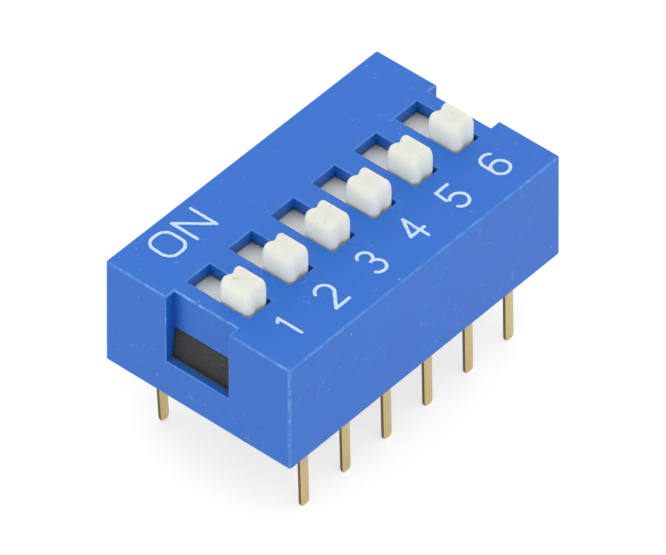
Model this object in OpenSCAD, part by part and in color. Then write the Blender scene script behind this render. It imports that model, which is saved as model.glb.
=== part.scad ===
// Slide DIP switch with raised actuators, for a 0.1 inch pin grid.
// X runs along the row of switches, from switch 1 upwards.
// Y points to the side marked ON, and Z is up.
// The origin is the middle of the underside, where the switch sits on its board.
// Every switch is drawn off, with its actuator at the end beside the numbers.

/* [Switches] */
// How many switches share the housing
switch_count = 6; // [2:1:9]
// Distance from one switch to the next
switch_pitch = 2.54; // [2.4:0.02:3.4]
// Distance between the two rows of pins
row_spacing = 7.62; // [6:0.02:10.2]

/* [Cover] */
// Height of the cover
cover_h = 5.36; // [5:0.02:8]
// Thickness of the top
cover_top_t = 0.62; // [0.4:0.02:0.9]
// Thickness of the two long side walls
cover_side_t = 0.6; // [0.4:0.02:1]
// Thickness left in the end walls behind the recesses
end_web_t = 0.29; // [0.25:0.01:0.6]
// How far each outer wall leans in between its lower edge and the top
cover_draft = 0.05; // [0:0.01:0.12]

/* [End latches] */
// Width of the recess in each end
recess_w = 3.3; // [2:0.1:5]
// Depth of the recess in each end
recess_depth = 0.56; // [0.3:0.02:0.7]
// Height of the ledge at the foot of the recess
recess_ledge_z = 1.88; // [1.4:0.02:2.4]
// Height of the latch window above that ledge
window_h = 1.54; // [0.8:0.02:1.8]
// Corner radius of the latch window
window_r = 0.12; // [0.05:0.01:0.3]
// How far the foot of the latch stands out of the web
latch_proud = 0.17; // [0.1:0.01:0.28]

/* [Actuators] */
// How far each actuator slides
knob_travel = 1.5; // [1.3:0.02:2.2]
// Width of the knob that stands through the slot
knob_w = 1.26; // [1:0.02:1.5]
// Length of the knob along its travel
knob_l = 1.6; // [1.2:0.02:1.9]
// Height of the knob above the cover
knob_h = 1.15; // [0.3:0.05:2]
// Corner radius of the knob
knob_r = 0.25; // [0.1:0.01:0.3]
// Rounding of the top edges of the knob
knob_top_r = 0.25; // [0.05:0.01:0.3]
// Flat left between a round corner and the groove in each end of the knob
groove_land = 0.08; // [0.02:0.01:0.15]
// Depth of that groove
groove_depth = 0.16; // [0.05:0.01:0.25]
// How far the slide plate reaches past each side of the slot
plate_lap = 0.27; // [0.15:0.01:0.35]
// Thickness of the slide plate
plate_t = 0.6; // [0.4:0.02:0.8]
// How far the slide plate reaches past the slot at the end of its travel
plate_overlap = 0.25; // [0.1:0.01:0.5]
// Wall of the spring carrier under the plate
carrier_wall = 0.2; // [0.12:0.01:0.25]
// Thickness of the roof over the spring
carrier_roof_t = 0.8; // [0.4:0.05:1.2]

/* [Contacts] */
// Thickness of the terminal strip
strip_t = 0.15; // [0.12:0.01:0.2]
// Width of each pin
pin_w = 0.5; // [0.4:0.02:0.6]
// Length of each pin below the housing
pin_l = 3.95; // [2.5:0.05:5]
// How far the tips of the near row are bent outwards
near_pin_set = 0.1; // [0:0.01:0.3]
// How far the tips of the far row are bent inwards
far_pin_set = 0.22; // [0:0.01:0.3]
// Chamfer at the tip of each pin
pin_chamfer = 0.06; // [0.02:0.01:0.15]
// Width of each terminal inside the housing
arm_w = 1.1; // [0.8:0.02:1.3]
// Thickness of the spring strip
spring_t = 0.12; // [0.08:0.01:0.15]
// Width of the spring strip
spring_w = 0.8; // [0.5:0.02:0.9]
// Distance between the two feet of the spring
spring_feet = 2.5; // [2.3:0.02:2.9]
// Length of the flat crest of the spring
spring_crest = 1.1; // [0.6:0.02:1.4]
// Length of terminal left under the foot nearest its end
foot_land = 0.2; // [0.1:0.02:0.3]
// Bare floor between an open foot and the terminal it leaves
open_gap = 0.75; // [0.5:0.02:1]

/* [Base] */
// Thickness of the floor
floor_t = 1.25; // [1:0.05:1.4]
// Depth of the trough that each pin row comes out of
trough_depth = 0.5; // [0.3:0.05:0.7]
// Width of that trough
trough_w = 0.7; // [0.5:0.02:0.76]
// Thickness of the end walls
base_end_t = 0.35; // [0.25:0.01:0.5]
// Thickness of the long side walls
base_side_t = 0.38; // [0.34:0.01:0.8]

/* [Clearances] */
// Gap between each side of a knob and its slot
knob_gap = 0.07; // [0.04:0.01:0.15]
// Gap between a knob and the end of its slot when it is home
home_gap = 0.1; // [0.02:0.01:0.15]
// Gap all round each sliding part under the cover
slide_clear = 0.05; // [0.03:0.01:0.08]
// Gap between the spring and the walls of its carrier
spring_clear = 0.11; // [0.05:0.01:0.15]
// Gap between the cover and the base it snaps over
snap_clear = 0.03; // [0.01:0.01:0.05]
// Gap round each terminal in the base
strip_clear = 0.02; // [0.01:0.01:0.04]
// Gap between the feet of the spring and what they run on
foot_clear = 0.02; // [0.01:0.01:0.05]

/* [Legend] */
// Width of a printed line
ink_line = 0.16; // [0.1:0.01:0.22]
// Thickness of the ink
ink_t = 0.03; // [0.02:0.01:0.06]
// Height of the numbers
digit_h = 1.52; // [1.2:0.02:1.8]
// Width of the numbers
digit_w = 0.96; // [0.8:0.02:1.1]
// Distance from the slots to the middle of the numbers
digit_gap = 1.56; // [1.3:0.02:1.8]
// How far each number stands beside the middle of its slot
digit_shift = 0.15; // [-0.3:0.01:0.3]
// Height of the word ON
word_h = 1.54; // [1.2:0.02:1.8]
// Width of each letter of ON
word_w = 1.32; // [1:0.02:1.5]
// Corner radius of the letter O, as a share of its width
word_round = 0.42; // [0.2:0.02:0.48]
// Gap between the two letters
word_gap = 0.28; // [0.2:0.02:0.5]
// How far the word starts past the near edge of slot 1
word_inset = 0.44; // [0:0.02:0.8]
// Distance from the slots to the middle of the word
word_rise = 1.97; // [1.6:0.02:2.1]

/* [Hidden] */
$fn = 48;
eps = 0.01; // overshoot of a cut
knob_home_y = -knob_travel / 2;
slot_w = knob_w + 2 * knob_gap;
slot_l = knob_l + knob_travel + 2 * home_gap;
plate_w = slot_w + 2 * plate_lap;
plate_l = slot_l + knob_travel + 2 * plate_overlap;
spring_toe = 2 * spring_t;
spring_l = spring_feet + spring_toe + spring_t;
carrier_w = spring_w + 2 * (spring_clear + carrier_wall);
carrier_l = spring_l + 2 * (spring_clear + carrier_wall);

// levels, from the top down
cover_under_z = cover_h - cover_top_t;
plate_top_z = cover_under_z - slide_clear;
plate_under_z = plate_top_z - plate_t;
divider_top_z = plate_under_z - slide_clear;
carrier_roof_z = plate_under_z - carrier_roof_t;
carrier_foot_z = floor_t + slide_clear + spring_t;

// places along the row
row_half = (switch_count - 1) * switch_pitch / 2;
cell_half = carrier_w / 2 + slide_clear;
base_half_l = row_half + cell_half + base_end_t;
cavity_half_l = base_half_l + snap_clear;
recess_floor_x = cavity_half_l + end_web_t;
cover_half_l = recess_floor_x + recess_depth;

// places across the row
row_y = row_spacing / 2;
strip_out_y = row_y + strip_t / 2;
hole_out_y = strip_out_y + strip_clear;
cell_half_l = max(hole_out_y, (plate_l + knob_travel) / 2 + slide_clear);
base_half_w = cell_half_l + base_side_t;
cavity_half_w = base_half_w + snap_clear;
cover_half_w = cavity_half_w + cover_side_t;
near_arm_end_y = knob_travel / 2 - spring_feet / 2 + foot_land;
far_arm_end_y = spring_feet / 2 - knob_travel / 2 + open_gap;

function switch_x(i) = (i - (switch_count + 1) / 2) * switch_pitch;

// A box centred on X and Y between two levels.
module block(size_x, size_y, low_z, high_z) {
    translate([-size_x / 2, -size_y / 2, low_z])
        cube([size_x, size_y, high_z - low_z]);
}

// Turns a drawing of X and Z into a solid that is centred along Y.
module along_y(length) {
    rotate([90, 0, 0])
        translate([0, 0, -length / 2])
            linear_extrude(length)
                children();
}

// Turns a drawing of Y and Z into a solid that is centred along X.
module along_x(length) {
    rotate([90, 0, 90])
        translate([0, 0, -length / 2])
            linear_extrude(length)
                children();
}

// A rectangle with round corners, centred on its origin.
module round_rect(width, height, radius) {
    square([width - 2 * radius, height], center = true);
    square([width, height - 2 * radius], center = true);
    for (x = [-1, 1], y = [-1, 1])
        translate([x * (width / 2 - radius), y * (height / 2 - radius)])
            circle(radius);
}

// ---- cover ----

// The leaning outline of a wall pair: full width below, drafted above.
module drafted(half_width) {
    polygon([
        [-half_width, 0],
        [half_width, 0],
        [half_width - cover_draft, cover_h],
        [-half_width + cover_draft, cover_h]
    ]);
}

module end_recess() {
    translate([recess_floor_x, -recess_w / 2, recess_ledge_z])
        cube([recess_depth + eps, recess_w, cover_h]);
}

module latch_window() {
    translate([cavity_half_l + end_web_t / 2, 0, recess_ledge_z + window_h / 2])
        along_x(end_web_t + 2 * eps)
            round_rect(recess_w, window_h, window_r);
}

module cover() {
    color("royalblue")
        difference() {
            intersection() {
                along_y(2 * cover_half_w) drafted(cover_half_l);
                along_x(2 * cover_half_l) drafted(cover_half_w);
            }
            block(2 * cavity_half_l, 2 * cavity_half_w, -eps, cover_under_z);
            for (i = [1:switch_count])
                translate([switch_x(i), 0, 0])
                    block(slot_w, slot_l, cover_under_z - eps, cover_h + eps);
            for (side = [0, 1])
                mirror([side, 0, 0]) {
                    end_recess();
                    latch_window();
                }
        }
}

// ---- base ----

// The snap latch: flush with the web at its top, proud of it at its foot.
module latch() {
    low_z = recess_ledge_z + snap_clear;
    high_z = recess_ledge_z + window_h - snap_clear;
    intersection() {
        along_y(recess_w)
            polygon([
                [base_half_l - base_end_t / 2, low_z],
                [recess_floor_x + latch_proud, low_z],
                [recess_floor_x, high_z],
                [base_half_l - base_end_t / 2, high_z]
            ]);
        translate([0, 0, recess_ledge_z + window_h / 2])
            along_x(2 * cover_half_l)
                round_rect(recess_w - 2 * snap_clear, high_z - low_z, window_r - snap_clear);
    }
}

// The space one actuator slides in, open at the top.
module cell() {
    block(carrier_w + 2 * slide_clear, 2 * cell_half_l, floor_t, cover_h);
    block(plate_w + 2 * slide_clear, 2 * cell_half_l, divider_top_z, cover_h);
}

// The groove and the hole that hold one terminal, which ends at arm_end_y.
module terminal_seat(arm_end_y) {
    hole_t = strip_t + 2 * strip_clear;
    translate([-pin_w / 2 - strip_clear, hole_out_y - hole_t, -eps])
        cube([pin_w + 2 * strip_clear, hole_t, floor_t + 2 * eps]);
    translate([-arm_w / 2 - strip_clear, arm_end_y - strip_clear, floor_t - strip_t])
        cube([arm_w + 2 * strip_clear, hole_out_y - arm_end_y + strip_clear, strip_t + eps]);
}

module base() {
    color("dimgray")
        difference() {
            union() {
                block(2 * base_half_l, 2 * base_half_w, 0, cover_under_z);
                for (side = [0, 1])
                    mirror([side, 0, 0]) latch();
            }
            for (side = [0, 1])
                mirror([side, 0, 0])
                    translate([row_half, -cell_half_l, divider_top_z])
                        cube([base_half_l, 2 * cell_half_l, cover_h]);
            for (i = [1:switch_count])
                translate([switch_x(i), 0, 0]) {
                    cell();
                    terminal_seat(far_arm_end_y);
                    mirror([0, 1, 0]) terminal_seat(-near_arm_end_y);
                }
            for (side = [-1, 1])
                translate([0, side * row_y, 0])
                    block(2 * (row_half + cell_half), trough_w, -eps, trough_depth);
        }
}

// ---- actuators ----

// Seen from above: a block with round corners and a shallow groove in each end.
module knob_outline() {
    groove_w = knob_w - 2 * (knob_r + groove_land);
    groove_r = (pow(groove_w / 2, 2) + pow(groove_depth, 2)) / (2 * groove_depth);
    difference() {
        round_rect(knob_w, knob_l, knob_r);
        for (end = [-1, 1])
            translate([0, end * (knob_l / 2 + groove_r - groove_depth)])
                circle(groove_r);
    }
}

// The knob's side view, with its top corners rounded.
module knob_side(width, foot_z, top_z) {
    translate([-width / 2, foot_z])
        square([width, top_z - foot_z - knob_top_r]);
    translate([-width / 2 + knob_top_r, foot_z])
        square([width - 2 * knob_top_r, top_z - foot_z]);
    for (x = [-1, 1])
        translate([x * (width / 2 - knob_top_r), top_z - knob_top_r])
            circle(knob_top_r);
}

module knob() {
    foot_z = plate_top_z - eps;
    top_z = cover_h + knob_h;
    intersection() {
        translate([0, 0, foot_z])
            linear_extrude(top_z - foot_z)
                knob_outline();
        along_y(knob_l) knob_side(knob_w, foot_z, top_z);
        along_x(knob_w) knob_side(knob_l, foot_z, top_z);
    }
}

module actuator(i) {
    color("whitesmoke")
        translate([switch_x(i), knob_home_y, 0]) {
            knob();
            block(plate_w, plate_l, plate_under_z, plate_top_z);
            difference() {
                block(carrier_w, carrier_l, carrier_foot_z, plate_under_z + eps);
                block(
                    carrier_w - 2 * carrier_wall,
                    carrier_l - 2 * carrier_wall,
                    carrier_foot_z - eps,
                    carrier_roof_z
                );
            }
        }
}

// ---- contacts ----

// A straight line of a given width with round ends.
module bar(from, to, width) {
    span = to - from;
    translate(from)
        rotate(atan2(span[1], span[0]))
            translate([0, -width / 2])
                square([norm(span), width]);
    for (p = [from, to])
        translate(p)
            circle(width / 2);
}

// A run of such lines from point to point.
module line_through(points, width) {
    for (k = [1:len(points) - 1])
        bar(points[k - 1], points[k], width);
}

module contact_spring(i) {
    crest_z = carrier_roof_z - spring_t / 2;
    foot_z = floor_t + foot_clear + spring_t / 2;
    foot_y = spring_feet / 2;
    right = [
        [spring_crest / 2, crest_z],
        [foot_y - spring_toe / 2, foot_z],
        [foot_y, foot_z],
        [foot_y + spring_toe / 2, foot_z + spring_toe]
    ];
    left = [for (k = [3:-1:0]) [-right[k][0], right[k][1]]];
    color("gold")
        translate([switch_x(i), knob_home_y, 0])
            along_x(spring_w)
                line_through(concat(left, right), spring_t);
}

// A stamped terminal on the far side: an arm in the floor, bent down into a pin.
module terminal(arm_end_y, set) {
    intersection() {
        along_x(arm_w)
            polygon([
                [arm_end_y, floor_t],
                [strip_out_y, floor_t],
                [strip_out_y, 0],
                [strip_out_y + set, -pin_l],
                [strip_out_y - strip_t + set, -pin_l],
                [strip_out_y - strip_t, 0],
                [strip_out_y - strip_t, floor_t - strip_t],
                [arm_end_y, floor_t - strip_t]
            ]);
        union() {
            translate([-arm_w / 2, 0, floor_t - strip_t])
                cube([arm_w, cover_half_w, strip_t]);
            along_y(2 * cover_half_w)
                polygon([
                    [-pin_w / 2, floor_t],
                    [pin_w / 2, floor_t],
                    [pin_w / 2, pin_chamfer - pin_l],
                    [pin_w / 2 - pin_chamfer, -pin_l],
                    [pin_chamfer - pin_w / 2, -pin_l],
                    [-pin_w / 2, pin_chamfer - pin_l]
                ]);
        }
    }
}

module terminal_far(i) {
    color("darkkhaki")
        translate([switch_x(i), 0, 0])
            terminal(far_arm_end_y, -far_pin_set);
}

module terminal_near(i) {
    color("darkkhaki")
        translate([switch_x(i), 0, 0])
            mirror([0, 1, 0])
                terminal(-near_arm_end_y, near_pin_set);
}

// ---- legend ----

// Part of a ring, from one angle round to a larger one.
module arc(centre, radius, from, to, width) {
    reach = 2 * radius + width; // far enough out for the fan to cover the ring
    fan_angle = 45;
    steps = ceil((to - from) / fan_angle);
    translate(centre)
        intersection() {
            difference() {
                circle(radius + width / 2);
                circle(radius - width / 2);
            }
            polygon(concat(
                [[0, 0]],
                [for (k = [0:steps]) let (a = from + (to - from) * k / steps) reach * [cos(a), sin(a)]]
            ));
        }
    for (a = [from, to])
        translate(centre + radius * [cos(a), sin(a)])
            circle(width / 2);
}

// One numeral, centred on its origin. Its lines run between -x and x, and -y and y,
// and its bowls are arcs whose open ends stop at an angle from the X axis.
module numeral(n) {
    s = ink_line;
    x = (digit_w - s) / 2;
    y = (digit_h - s) / 2;
    high_bowl = [0, y - x];
    low_bowl = [0, x - y];
    if (n == 1) {
        one_y = 0.8 * y; // the flag's tip and the foot stop short of the full height
        line_through([[0, one_y], [x / 2, y], [x / 2, -one_y]], s);
    }
    if (n == 2) {
        neck = 38; // where the slanting line leaves the bowl
        arc(high_bowl, x, -neck, 155, s);
        line_through([high_bowl + x * [cos(neck), -sin(neck)], [-x, -y], [x, -y]], s);
    }
    if (n == 3 || n == 8) {
        high_r = 0.47 * y; // the upper bowl is a little smaller than the lower
        low_r = y - high_r;
        end = n == 8 ? 269 : 150; // both bowls of the 8 come round and close
        arc([0, y - high_r], high_r, -90, end, s);
        arc([0, low_r - y], low_r, -end, 90, s);
    }
    if (n == 4) {
        stem_x = 0.4 * x;
        line_through([[x, -y / 3], [-x, -y / 3], [stem_x, y], [stem_x, -y]], s);
    }
    if (n == 5) {
        bar_x = 0.88 * x; // the straight top is narrower than the bowl
        line_through([[bar_x, y], [-bar_x, y], [-x, y / 8]], s);
        arc(low_bowl, x, -150, 135, s);
    }
    if (n == 6 || n == 9)
        rotate(n == 9 ? 180 : 0) {
            arc(low_bowl, x, 0, 180, s);
            arc(low_bowl, x, 180, 360, s);
            arc(high_bowl, x, 40, 180, s);
            bar([-x, y - x], [-x, x - y], s);
        }
    if (n == 7)
        line_through([[-x, y], [x, y], [-x / 3, -y]], s);
}

module letter_o(width, height) {
    corner_r = word_round * width;
    difference() {
        round_rect(width, height, corner_r);
        round_rect(width - 2 * ink_line, height - 2 * ink_line, corner_r - ink_line);
    }
}

module letter_n(width, height) {
    x = (width - ink_line) / 2;
    y = (height - ink_line) / 2;
    line_through([[-x, -y], [-x, y], [x, -y], [x, y]], ink_line);
}

module legend() {
    word_y = slot_l / 2 + word_rise;
    first_x = switch_x(1) - slot_w / 2 + word_inset + word_w / 2;
    color("white")
        translate([0, 0, cover_h])
            linear_extrude(ink_t) {
                translate([first_x, word_y])
                    letter_o(word_w, word_h);
                translate([first_x + word_w + word_gap, word_y])
                    letter_n(word_w, word_h);
                for (i = [1:switch_count])
                    translate([switch_x(i) - digit_shift, -slot_l / 2 - digit_gap])
                        numeral(i);
            }
}

cover();
legend();
base();
for (i = [1:switch_count]) {
    actuator(i);
    contact_spring(i);
    terminal_near(i);
    terminal_far(i);
}
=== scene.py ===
# %% [markdown]
# # Dressing a six-way DIP switch
#
# The imported model gives every part of the switch its true size and place. This lesson gives
# each part the finish of the real one: edges that are rounded as a mould rounds them, ink that
# has soaked in unevenly, metal that was sheared from strip.
#
# We start by loading the frame, and we note its box before anything is added.

# %% Load the frame
from contextlib import contextmanager
from math import cos, pi, radians, sin

import bmesh
import bpy
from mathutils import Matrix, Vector
from mathutils.noise import noise_vector, seed_set


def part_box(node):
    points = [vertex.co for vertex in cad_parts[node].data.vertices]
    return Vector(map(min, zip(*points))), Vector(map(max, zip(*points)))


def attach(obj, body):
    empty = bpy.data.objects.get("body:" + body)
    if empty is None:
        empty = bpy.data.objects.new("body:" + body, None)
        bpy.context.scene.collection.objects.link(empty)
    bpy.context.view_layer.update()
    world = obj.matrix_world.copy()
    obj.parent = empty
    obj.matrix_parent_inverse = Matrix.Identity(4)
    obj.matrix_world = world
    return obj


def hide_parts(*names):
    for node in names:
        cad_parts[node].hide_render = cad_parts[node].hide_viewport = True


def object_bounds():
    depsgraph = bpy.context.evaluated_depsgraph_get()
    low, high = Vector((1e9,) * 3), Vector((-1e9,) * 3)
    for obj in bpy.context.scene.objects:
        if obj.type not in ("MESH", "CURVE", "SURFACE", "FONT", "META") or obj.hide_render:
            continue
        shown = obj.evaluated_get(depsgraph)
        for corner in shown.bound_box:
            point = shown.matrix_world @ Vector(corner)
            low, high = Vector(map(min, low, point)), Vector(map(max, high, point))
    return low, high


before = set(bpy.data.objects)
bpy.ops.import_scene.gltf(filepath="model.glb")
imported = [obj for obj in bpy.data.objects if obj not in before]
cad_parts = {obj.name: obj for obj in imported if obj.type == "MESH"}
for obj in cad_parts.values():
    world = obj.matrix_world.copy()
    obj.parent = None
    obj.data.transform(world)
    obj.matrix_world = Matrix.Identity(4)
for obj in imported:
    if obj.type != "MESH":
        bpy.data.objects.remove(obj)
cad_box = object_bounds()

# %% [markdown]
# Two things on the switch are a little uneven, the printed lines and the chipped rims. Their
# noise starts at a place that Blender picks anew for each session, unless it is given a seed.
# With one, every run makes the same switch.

seed_set(1)
MM = 0.001
hair = 0.001 * MM
scene = bpy.context.scene
switch_count = sum(name.startswith("actuator_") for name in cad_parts)
switches = range(1, switch_count + 1)

# %% [markdown]
# ## Reading sizes off the frame
#
# A finished part has to fit the CAD part that it stands for, so its sizes are measured on that
# part and not typed again. Flat faces tell most of them: every wall, floor and ledge is a set of
# triangles that share a direction and a level. Points that differ by less than a hair, a
# thousandth of a millimetre, count as level.

# %% Levels of the flat faces of a part
def flats(part, axis, side):
    """The levels at which a CAD part has flat faces turned to side 1 or -1 of an axis, lowest first."""
    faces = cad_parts[part].data.polygons
    return sorted({round(face.center[axis], 6) for face in faces if face.normal[axis] * side > 0.99999})


def reach(part, is_meant):
    """The lowest and highest corner of those points of a CAD part that is_meant picks."""
    points = [v.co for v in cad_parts[part].data.vertices if is_meant(v.co)]
    return [Vector([pick(p[k] for p in points) for k in range(3)]) for pick in (min, max)]


cover_low, cover_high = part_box("cover")
cover_top = cover_high.z
switch_x = {i: sum(corner.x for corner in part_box(f"actuator_{i}")) / 2 for i in switches}
pitch = switch_x[2] - switch_x[1]
slot_end = max(y for y in flats("cover", 1, -1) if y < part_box("actuator_1")[1].y)
web_x = flats("cover", 0, 1)[-1]
ledge_z = flats("cover", 2, 1)[0]
for what, size in (("pitch", pitch), ("cover top", cover_top), ("far end of the slots", slot_end),
                   ("webs behind the recesses", web_x), ("ledges of the recesses", ledge_z)):
    print(what, round(size / MM, 3), "mm")

# %% [markdown]
# ## The camera
#
# The switch is seen from above, over the corner between its numbered side and the end beside
# switch 1. A long lens keeps the two rows of edges almost parallel. The camera is placed by
# turning a line from the middle of the switch: first round the Z axis, then up from the floor.

# %% Camera
aim = Vector((-0.384, -0.284, 2.0)) * MM
turn, rise = radians(-49.14), radians(43.28)
camera_distance = 423.94 * MM
outwards = Vector((sin(turn) * cos(rise), -cos(turn) * cos(rise), sin(rise)))

camera = bpy.data.objects.new("camera", bpy.data.cameras.new("camera"))
scene.collection.objects.link(camera)
camera.location = aim + outwards * camera_distance
camera.rotation_euler = outwards.to_track_quat("Z", "Y").to_euler()
camera.data.lens = 570.2
camera.data.clip_end = 10
scene.camera = camera
print("camera at", [round(value, 4) for value in camera.location])

# %% [markdown]
# ## Small helpers for shader nodes
#
# A material is a network, and most of its nodes are a number in, a number out. These few
# functions make a node, join it up and hand back its output, so that a material further down
# reads like a recipe. Patterns are worked out in millimetres on Object coordinates, which stay
# with the part however the camera or the joint moves.

# %% Node helpers
def wire(tree, value, socket):
    """Joins an output to a socket, or sets the socket to a plain value."""
    if isinstance(value, bpy.types.NodeSocket):
        tree.links.new(value, socket)
    else:
        socket.default_value = value


def filled(tree, made, values):
    """Wires a node and returns its outputs. values maps the label or number of an input to its value."""
    for label, value in values.items():
        wire(tree, value, made.inputs[label])
    return made.outputs


def node(tree, kind, values=None, **settings):
    """Adds a node of a kind with these settings, wires it and returns its outputs."""
    made = tree.nodes.new(kind)
    for name, value in settings.items():
        setattr(made, name, value)
    return filled(tree, made, values or {})


def maths(tree, operation, *values, clamp=False):
    return node(tree, "ShaderNodeMath", dict(enumerate(values)), operation=operation, use_clamp=clamp)[0]


def times(tree, first, *others):
    """The product of all the values."""
    for other in others:
        first = maths(tree, "MULTIPLY", first, other)
    return first


def minus(tree, value, other):
    return maths(tree, "SUBTRACT", value, other)


def one_minus(tree, value):
    return minus(tree, 1.0, value)


def between(tree, value, low, high):
    """low where the value is 0, high where it is 1, and in step between them."""
    return maths(tree, "ADD", low, times(tree, value, high - low))


def ease(tree, value, low, high):
    """0 below low, 1 above high, and a smooth rise between them."""
    values = {"Value": value, "From Min": low, "From Max": high}
    return node(tree, "ShaderNodeMapRange", values, interpolation_type="SMOOTHSTEP")["Result"]


def blend(tree, share, first, second):
    return node(tree, "ShaderNodeMix", {0: share, 6: first, 7: second}, data_type="RGBA")[2]


def noise(tree, place, scale, detail=2.0):
    return node(tree, "ShaderNodeTexNoise", {"Vector": place, "Scale": scale, "Detail": detail})["Fac"]


def stretched(tree, place, factors):
    """The place with each axis scaled, so that a pattern is drawn out along the small one."""
    return node(tree, "ShaderNodeVectorMath", {0: place, 1: factors}, operation="MULTIPLY")[0]


def place_in_mm(tree):
    return stretched(tree, node(tree, "ShaderNodeTexCoord")["Object"], (1 / MM,) * 3)


def apart(tree, place):
    """The x, the y and the z of a place."""
    return list(node(tree, "ShaderNodeSeparateXYZ", {0: place}))


def mark(tree, name):
    """A value that the mesh carries on its faces, such as how worn an edge is."""
    return node(tree, "ShaderNodeAttribute", attribute_name=name)["Fac"]


print("one metre is", 1 / MM, "pattern units")

# %% [markdown]
# ## The floor and the light
#
# Small parts are photographed in a white tent: a pale floor, and soft light from everywhere. This
# tent is brighter low down than overhead, so that the sides of the white knobs get nearly as much
# light as their tops, and one wide lamp over the camera's side adds a little form. The floor gives
# back about half of the light that falls on it, and it also glows for the camera and for
# reflections. In the open the two together come to white, and under the switch the light that is
# missing still shows as a soft shadow. From below the floor is clear, so that the underside of
# the switch can be looked at too.

# %% What the camera and the reflections see
def seen_directly(tree):
    """1 for rays from the camera and for reflected or refracted rays, 0 for rays that carry soft light."""
    rays = node(tree, "ShaderNodeLightPath")
    mirrored = maths(tree, "MAXIMUM", rays["Is Glossy Ray"], rays["Is Transmission Ray"])
    return maths(tree, "MAXIMUM", rays["Is Camera Ray"], mirrored)


def mixed(tree, share, first, second):
    """One shader where the share is 0, and the other where it is 1."""
    return node(tree, "ShaderNodeMixShader", {"Fac": share, 1: first, 2: second})[0]


# %% Floor
def floor_material(paleness, glow_strength):
    made = bpy.data.materials.new("tent_floor")
    made.use_nodes = True
    tree = made.node_tree
    tree.nodes.clear()
    pale = node(tree, "ShaderNodeBsdfDiffuse", {"Color": (paleness, paleness, paleness, 1)})[0]
    strength = times(tree, seen_directly(tree), glow_strength)
    glow = node(tree, "ShaderNodeEmission", {"Strength": strength})[0]
    both = node(tree, "ShaderNodeAddShader", {0: pale, 1: glow})[0]
    clear = node(tree, "ShaderNodeBsdfTransparent")[0]
    from_below = node(tree, "ShaderNodeNewGeometry")["Backfacing"]
    node(tree, "ShaderNodeOutputMaterial", {"Surface": mixed(tree, from_below, both, clear)})
    return made


floor_z = cad_box[0][2]
floor_half = 2.0
floor_mesh = bpy.data.meshes.new("tent_floor")
floor_mesh.from_pydata(
    [(x * floor_half, y * floor_half, floor_z) for x, y in ((-1, -1), (1, -1), (1, 1), (-1, 1))],
    [], [(0, 1, 2, 3)])
floor_mesh.materials.append(floor_material(paleness=0.55, glow_strength=0.60))
floor = bpy.data.objects.new("tent_floor", floor_mesh)
scene.collection.objects.link(floor)
print("floor at", round(floor_z / MM, 3), "mm")

# %% World
light_low_down, light_overhead = 1.65, 0.55
world = bpy.data.worlds.new("tent")
scene.world = world
world.use_nodes = True
sky = world.node_tree
sky_height = apart(sky, node(sky, "ShaderNodeTexCoord")["Generated"])[2]
sky_strength = node(sky, "ShaderNodeMapRange", {
    "Value": sky_height, "To Min": light_low_down, "To Max": light_overhead})["Result"]
white = (1, 1, 1, 1)
tent_light = filled(sky, sky.nodes["Background"], {"Color": white, "Strength": sky_strength})[0]
tent_seen = node(sky, "ShaderNodeBackground", {"Color": white, "Strength": 1.0})[0]
tent = mixed(sky, seen_directly(sky), tent_light, tent_seen)
wire(sky, tent, sky.nodes["World Output"].inputs["Surface"])
print("tent light", light_low_down, "low down and", light_overhead, "overhead")

# %% Softbox
lamp = bpy.data.objects.new("softbox", bpy.data.lights.new("softbox", "AREA"))
scene.collection.objects.link(lamp)
lamp.data.shape = "DISK"
lamp.data.size = 0.30
lamp.data.energy = 0.16
lamp.location = (-0.05, -0.10, 0.30)
lamp.rotation_euler = lamp.location.to_track_quat("Z", "Y").to_euler()
scene.view_settings.view_transform = "Standard"
print("lamp", lamp.data.energy, "W at", round(lamp.location.length, 3), "m")

# %% [markdown]
# ## Effects that several finishes share
#
# Dust, moulded grain, chipped edges, streaks and scuffs turn up on more than one material. Each is
# a node group, built once, with its sizes as inputs. A group gives out only masks and values: what
# they do to colour, gloss or relief is the business of the material that uses it.

# %% Group helpers
def new_group(name, inputs, outputs):
    """A shader node group. inputs is (label, default) pairs, and a default of None is a place."""
    group = bpy.data.node_groups.new(name, "ShaderNodeTree")
    for label, default in inputs:
        kind = "NodeSocketVector" if default is None else "NodeSocketFloat"
        socket = group.interface.new_socket(label, in_out="INPUT", socket_type=kind)
        if default is not None:
            socket.default_value = default
    for label in outputs:
        group.interface.new_socket(label, in_out="OUTPUT", socket_type="NodeSocketFloat")
    return group, group.nodes.new("NodeGroupInput").outputs, group.nodes.new("NodeGroupOutput").inputs


def use(tree, group, **values):
    """Places a group in a material and returns its outputs. Place stands for the input "Place"."""
    return node(tree, "ShaderNodeGroup", values, node_tree=group)


# %% Dust: a few small round specks, one at most in each cell
dust, dust_in, dust_out = new_group(
    "dust", [("Place", None), ("Cells", 2.0), ("Size", 0.1), ("Amount", 0.3)], ["Mask"])
speck = node(dust, "ShaderNodeTexVoronoi", {"Vector": dust_in["Place"], "Scale": dust_in["Cells"]})
speck_draw = node(dust, "ShaderNodeSeparateColor", {0: speck["Color"]})
speck_kept = maths(dust, "LESS_THAN", speck_draw["Red"], dust_in["Amount"])
speck_size = maths(dust, "ADD", times(dust, speck_draw["Green"], dust_in["Size"]), 0.001)
speck_near = maths(dust, "DIVIDE", speck["Distance"], speck_size)
speck_round = one_minus(dust, ease(dust, speck_near, 0.6, 1.1))
wire(dust, times(dust, speck_kept, speck_round), dust_out["Mask"])

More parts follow.
